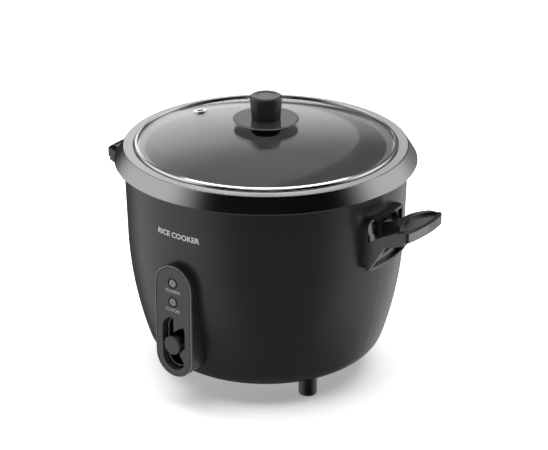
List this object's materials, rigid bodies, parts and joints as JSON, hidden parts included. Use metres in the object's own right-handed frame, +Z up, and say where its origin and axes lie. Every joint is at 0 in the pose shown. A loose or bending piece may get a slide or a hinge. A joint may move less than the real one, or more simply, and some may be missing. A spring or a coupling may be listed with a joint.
{
  "type": "rice cooker",
  "caption": "Electric rice cooker with a deep tapering body, domed glass lid, lift-out pot, rocker lever and lamps on an upright front panel, and two side handles.",
  "frame": {"origin": "on the body's vertical axis, at the level that the legs stand on", "axes": "+Z up along the body axis, -Y towards the control panel at the front, the side handles on X"},
  "size_m": [0.3468, 0.274, 0.2616],
  "materials": {
    "body_paint": "satin black",
    "ring_finish": "polished dark grey",
    "black_plastic": "satin",
    "panel_plastic": "satin",
    "disc_finish": "gloss",
    "lens_clear": "gloss",
    "pot_aluminium": "satin",
    "cast_aluminium": "cast",
    "lid_glass": "polished",
    "bulb_glass": "clear",
    "rim_steel": "polished",
    "plated_steel": "zinc plated",
    "screw_steel": "plated",
    "spring_steel": "drawn wire",
    "ferrite": "sintered",
    "brass_parts": "plain",
    "rubber_parts": "matte",
    "insulation": "plain"
  },
  "bodies": {
    "base": {"base_plate": "plated_steel", "base_screws": "screw_steel", "fuse_clip": "plated_steel", "handle_bracket_left": "black_plastic", "handle_bracket_right": "black_plastic", "handle_grip_left": "black_plastic", "handle_grip_right": "black_plastic", "handle_screws_left": "screw_steel", "handle_screws_right": "screw_steel", "heater_studs": "plated_steel", "heater_terminals": "brass_parts", "heating_element": "plated_steel", "heating_plate": "cast_aluminium", "inlet_pins": "brass_parts", "inlet_socket": "black_plastic", "inner_shroud": "plated_steel", "keep_warm_heater": "insulation", "lamp_bulbs": "bulb_glass", "lamp_holder": "insulation", "lamp_lens_cook": "lens_clear", "lamp_lens_warm": "lens_clear", "leg_front_left": "black_plastic", "leg_front_right": "black_plastic", "leg_pads": "rubber_parts", "leg_rear": "black_plastic", "leg_screws": "screw_steel", "lever_bracket": "plated_steel", "lever_pin": "plated_steel", "magnet_spring": "spring_steel", "microswitch": "black_plastic", "outer_shell": "body_paint", "panel_cover": "panel_plastic", "panel_housing": "panel_plastic", "panel_screws": "screw_steel", "rim_ring": "ring_finish", "sensor_spring": "spring_steel", "shroud_pillars": "plated_steel", "switch_bracket": "plated_steel", "switch_screws": "screw_steel", "thermal_fuse": "insulation", "thermostat_frame": "plated_steel", "wire_earth": "insulation", "wire_live": "insulation", "wire_neutral": "insulation"},
    "pot": {"inner_pot": "pot_aluminium"},
    "lid": {"lid_glass": "lid_glass", "lid_rim": "rim_steel", "vent_grommet": "rim_steel", "knob_grip": "black_plastic", "knob_disc": "disc_finish", "knob_washer": "rubber_parts", "knob_boss": "black_plastic", "knob_screw": "screw_steel"},
    "lever": {"lever_arm": "plated_steel", "lever_button": "panel_plastic"},
    "magnet_body": {"magnet": "ferrite", "pull_rod": "plated_steel"},
    "sensor": {"sensor_cap": "cast_aluminium", "sensor_ferrite": "ferrite"},
    "plunger": {"switch_plunger": "black_plastic"}
  },
  "joints": [
    {"name": "pot_lift", "type": "slide", "parent": "base", "child": "pot", "axis": [0, 0, 1], "range_m": [0, 0.15]},
    {"name": "lid_lift", "type": "slide", "parent": "pot", "child": "lid", "axis": [0, 0, 1], "range_m": [0, 0.12]},
    {"name": "lever_rock", "type": "hinge", "parent": "base", "child": "lever", "pos_m": [0, -0.03, 0.045], "axis": [1, 0, 0], "range_deg": [0, 5.5], "stiffness_Nm_per_rad": 1.5, "springref_deg": -1.72},
    {"name": "magnet_slide", "type": "slide", "parent": "base", "child": "magnet_body", "axis": [0, 0, 1], "range_m": [0, 0.003], "deforming": ["magnet_spring"]},
    {"name": "sensor_press", "type": "slide", "parent": "base", "child": "sensor", "axis": [0, 0, 1], "range_m": [-0.0015, 0], "stiffness_N_per_m": 400, "springref_m": 0.003, "deforming": ["sensor_spring"]},
    {"name": "plunger_slide", "type": "slide", "parent": "base", "child": "plunger", "axis": [0, 0, 1], "range_m": [-0.0026, 0]}
  ],
  "couplings": [
    {"joint": "magnet_slide", "follows": "lever_rock", "m_per_rad": 0.03},
    {"joint": "plunger_slide", "follows": "lever_rock", "m_per_rad": -0.0258}
  ]
}
